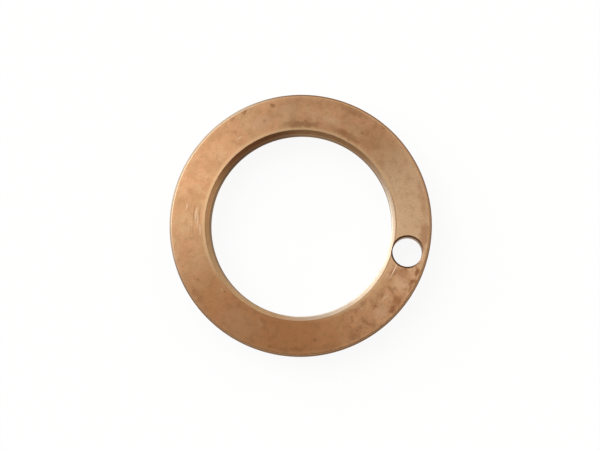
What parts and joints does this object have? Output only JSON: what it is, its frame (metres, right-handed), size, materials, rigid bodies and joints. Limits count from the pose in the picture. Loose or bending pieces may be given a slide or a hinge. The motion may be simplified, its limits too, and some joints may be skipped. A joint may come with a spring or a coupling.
{
  "type": "thrust washer",
  "caption": "Flat bronze ring with chamfered edges and an off-centre peg hole; it takes end thrust between a turning shaft or gear and its housing.",
  "frame": {"origin": "centre of the lower thrust face, on the bore axis", "axes": "+Z along the bore axis and up, with the lower face on z = 0; +X from the bore axis towards the peg hole"},
  "size_m": [0.032, 0.032, 0.0032],
  "materials": {
    "bronze": "satin turned bronze with light tarnish"
  },
  "bodies": {
    "root": {"thrust_washer": "bronze"}
  },
  "joints": []
}
